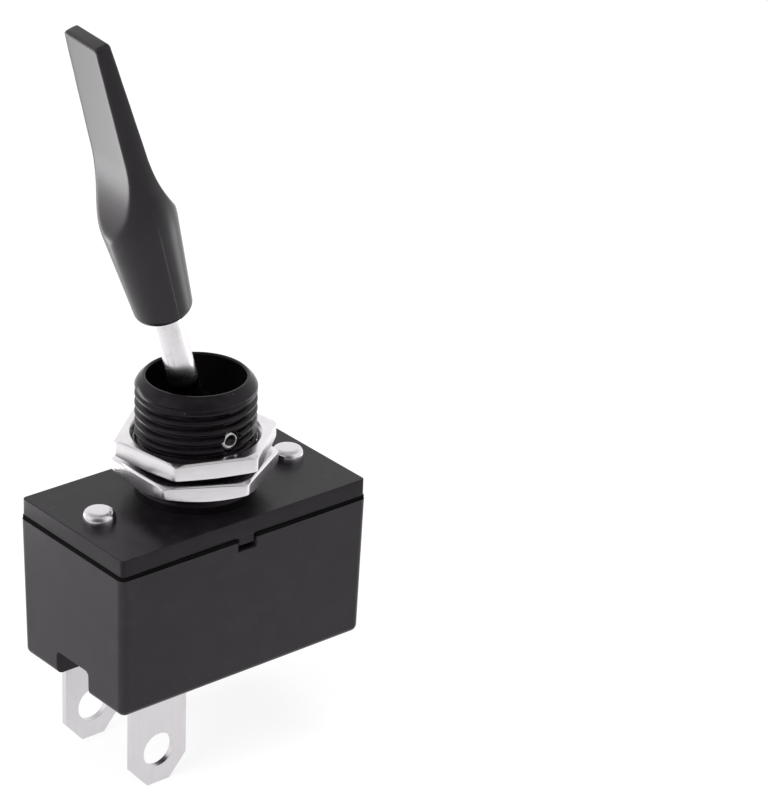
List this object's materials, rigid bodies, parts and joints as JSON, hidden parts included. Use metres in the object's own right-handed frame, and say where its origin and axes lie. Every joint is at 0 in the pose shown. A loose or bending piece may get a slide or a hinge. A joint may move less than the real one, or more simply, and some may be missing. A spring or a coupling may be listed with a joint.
{
  "type": "panel toggle switch",
  "caption": "Panel toggle switch with a moulded threaded bushing, hexagon nuts, a slim paddle handle on a metal lever, and flat terminals with eyes.",
  "frame": {"origin": "axis of the bushing at the cover plate's top face", "axes": "+Z along the bushing's axis, out through its mouth towards the handle; X along the cover's length, the direction in which the lever rocks, with both terminals at the -X end; Y along the cover's width"},
  "size_m": [0.0298, 0.0168, 0.077],
  "materials": {
    "housing_plastic": "satin black moulded thermoset",
    "cover_plastic": "glossy black moulded plastic",
    "gasket_sheet": "thin black sheet",
    "rivet_metal": "bright",
    "nut_metal": "polished nickel plate",
    "pin_metal": "plain steel",
    "lever_metal": "bright nickel plate",
    "handle_plastic": "satin black moulded plastic",
    "plunger_plastic": "natural insulating plastic",
    "spring_metal": "spring steel wire",
    "roller_metal": "turned",
    "terminal_metal": "tin-plated, satin",
    "contact_metal": "silver facing"
  },
  "bodies": {
    "body": {"housing": "housing_plastic", "cover": "cover_plastic", "cover_gasket": "gasket_sheet", "rivet_left": "rivet_metal", "rivet_right": "rivet_metal", "pivot_pin": "pin_metal", "terminal_front": "terminal_metal", "terminal_rear": "terminal_metal", "contact_front": "contact_metal", "contact_rear": "contact_metal"},
    "lever": {"lever": "lever_metal", "handle": "handle_plastic", "plunger_spring": "spring_metal"},
    "plunger": {"plunger": "plunger_plastic"},
    "roller": {"contact_roller": "roller_metal"},
    "panel_nut": {"panel_nut": "nut_metal"},
    "backing_nut": {"backing_nut": "nut_metal"}
  },
  "joints": [
    {"name": "lever_toggle", "type": "hinge", "parent": "body", "child": "lever", "pos_m": [0, 0, 0.0072], "axis": [0, 1, 0], "range_deg": [0, 34]},
    {"name": "plunger_slide", "type": "slide", "parent": "lever", "child": "plunger", "axis": [-0.2924, 0, 0.9563], "range_m": [-0.0002, 0.001], "stiffness_N_per_m": 300, "deforming": ["plunger_spring"]},
    {"name": "roller_spin", "type": "hinge", "parent": "plunger", "child": "roller", "pos_m": [0.00439, 0, -0.00715], "axis": [0, 1, 0], "range_deg": [-380, 6]},
    {"name": "panel_nut_travel", "type": "slide", "parent": "body", "child": "panel_nut", "axis": [0, 0, 1], "range_m": [0, 0.005]},
    {"name": "backing_nut_travel", "type": "slide", "parent": "body", "child": "backing_nut", "axis": [0, 0, 1], "range_m": [-0.0018, 0.0006]}
  ],
  "couplings": [
    {"joint": "roller_spin", "follows": "lever_toggle", "ratio": -11}
  ]
}
